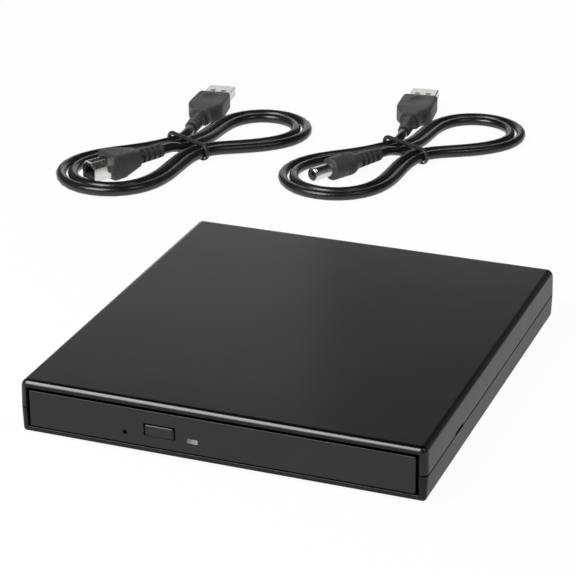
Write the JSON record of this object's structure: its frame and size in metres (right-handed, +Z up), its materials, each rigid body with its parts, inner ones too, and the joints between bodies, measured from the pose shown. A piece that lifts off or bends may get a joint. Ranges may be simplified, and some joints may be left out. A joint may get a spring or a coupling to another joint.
{
  "type": "external dvd drive",
  "caption": "Slim black external disc drive with a sliding tray, eject button and rear sockets, and its tied data and power leads beside it.",
  "frame": {"origin": "on the table under the middle of the case", "axes": "+Z up, the tray opens to -Y, +X to the right seen from the front"},
  "size_m": [0.2283, 0.3482, 0.0188],
  "materials": {
    "cover_plastic": "satin black, fine moulded texture",
    "shell_plastic": "matte black, fine moulded texture",
    "bezel_plastic": "satin black",
    "button_plastic": "satin black",
    "window": "frosted clear",
    "lamp": "clear resin",
    "foot_rubber": "matte",
    "screw_steel": "zinc plated",
    "board": "solder mask",
    "chip": "moulded resin",
    "connector": "moulded",
    "plated_steel": "nickel plated",
    "tongue_plastic": "moulded",
    "insert_plastic": "moulded",
    "contact": "gold plated",
    "jack_plastic": "moulded",
    "sheet_steel": "zinc coated sheet",
    "slide_plastic": "natural acetal",
    "rail_steel": "rolled",
    "tray_plastic": "fine texture",
    "ribbon": "film",
    "grommet_rubber": "soft matte",
    "rod_steel": "ground",
    "motor_steel": "pressed",
    "coil": "enamelled wire",
    "turntable_plastic": "moulded",
    "claw_plastic": "natural acetal",
    "sled_metal": "die cast",
    "holder_plastic": "moulded",
    "lens_glass": "coated",
    "cord_jacket": "glossy jacket",
    "tie_plastic": "coated wire",
    "grip_plastic": "satin overmold"
  },
  "bodies": {
    "case": {"top_cover": "cover_plastic", "bottom_shell": "shell_plastic", "rubber_feet": "foot_rubber", "fasteners": "screw_steel", "bridge_board": "board", "board_chips": "chip", "drive_connector": "connector", "socket_shell": "plated_steel", "socket_tongue": "tongue_plastic", "socket_contacts": "contact", "jack_body": "jack_plastic", "jack_pin": "screw_steel", "chassis_pan": "sheet_steel", "chassis_cover": "sheet_steel", "rail_guides": "slide_plastic", "latch_pin": "screw_steel", "main_board": "board", "ribbon_cable": "ribbon", "ejector_pusher": "slide_plastic", "ejector_spring": "screw_steel", "data_cord": "cord_jacket", "data_tie": "tie_plastic", "data_plug_grip": "grip_plastic", "data_plug_shell": "plated_steel", "plug_tongues": "tongue_plastic", "square_plug_grip": "grip_plastic", "square_plug_shell": "plated_steel", "square_plug_tongue": "insert_plastic", "power_cord": "cord_jacket", "power_tie": "tie_plastic", "power_plug_grip": "grip_plastic", "power_plug_shell": "plated_steel", "barrel_plug_grip": "grip_plastic", "barrel_plug_sleeve": "plated_steel"},
    "left_slider": {"left_rail": "rail_steel"},
    "right_slider": {"right_rail": "rail_steel"},
    "drawer": {"tray": "tray_plastic", "bezel": "bezel_plastic", "indicator_window": "window", "indicator_lamp": "lamp", "tray_board": "board", "eject_switch": "connector", "deck": "sheet_steel", "deck_cover": "sheet_steel", "deck_grommets": "grommet_rubber", "guide_rods": "rod_steel", "spindle_motor": "motor_steel", "feed_motor": "motor_steel", "latch_solenoid": "coil"},
    "button": {"eject_button": "button_plastic"},
    "latch": {"latch_lever": "slide_plastic"},
    "spindle": {"turntable": "turntable_plastic", "turntable_ring": "grommet_rubber"},
    "claw_a": {"clamp_claw_1": "claw_plastic"},
    "claw_b": {"clamp_claw_2": "claw_plastic"},
    "claw_c": {"clamp_claw_3": "claw_plastic"},
    "pickup": {"pickup_sled": "sled_metal"},
    "lens": {"lens_holder": "holder_plastic", "objective_lens": "lens_glass"},
    "feed_screw": {"lead_screw": "rod_steel"}
  },
  "joints": [
    {"name": "tray_slide", "type": "slide", "parent": "case", "child": "drawer", "axis": [0, -1, 0], "range_m": [0, 0.128]},
    {"name": "left_rail_slide", "type": "slide", "parent": "case", "child": "left_slider", "axis": [0, -1, 0], "range_m": [0, 0.064]},
    {"name": "right_rail_slide", "type": "slide", "parent": "case", "child": "right_slider", "axis": [0, -1, 0], "range_m": [0, 0.064]},
    {"name": "eject_press", "type": "slide", "parent": "drawer", "child": "button", "axis": [0, 1, 0], "range_m": [0, 0.0008], "stiffness_N_per_m": 200},
    {"name": "latch_swing", "type": "hinge", "parent": "drawer", "child": "latch", "pos_m": [-0.0425, -0.044, 0.0061], "axis": [0, 0, -1], "range_deg": [0, 13]},
    {"name": "spindle_spin", "type": "hinge", "parent": "drawer", "child": "spindle", "pos_m": [0, -0.0077, 0.0109], "axis": [0, 0, 1], "continuous": true},
    {"name": "claw_a_slide", "type": "slide", "parent": "spindle", "child": "claw_a", "axis": [-1, 0, 0], "range_m": [0, 0.0008], "stiffness_N_per_m": 150},
    {"name": "claw_b_slide", "type": "slide", "parent": "spindle", "child": "claw_b", "axis": [0.5, -0.866, 0], "range_m": [0, 0.0008], "stiffness_N_per_m": 150},
    {"name": "claw_c_slide", "type": "slide", "parent": "spindle", "child": "claw_c", "axis": [0.5, 0.866, 0], "range_m": [0, 0.0008], "stiffness_N_per_m": 150},
    {"name": "pickup_slide", "type": "slide", "parent": "drawer", "child": "pickup", "axis": [0.7071, -0.7071, 0], "range_m": [0, 0.0315]},
    {"name": "feed_screw_turn", "type": "hinge", "parent": "drawer", "child": "feed_screw", "pos_m": [-0.01202, -0.01972, 0.0066], "axis": [0.7071, -0.7071, 0], "range_deg": [-10, 3800]},
    {"name": "lens_focus", "type": "slide", "parent": "pickup", "child": "lens", "axis": [0, 0, 1], "range_m": [-0.0003, 0.0003], "stiffness_N_per_m": 60}
  ],
  "couplings": [
    {"joint": "left_rail_slide", "follows": "tray_slide", "ratio": 0.5},
    {"joint": "right_rail_slide", "follows": "tray_slide", "ratio": 0.5},
    {"joint": "feed_screw_turn", "follows": "pickup_slide", "rad_per_m": 2094.4}
  ]
}
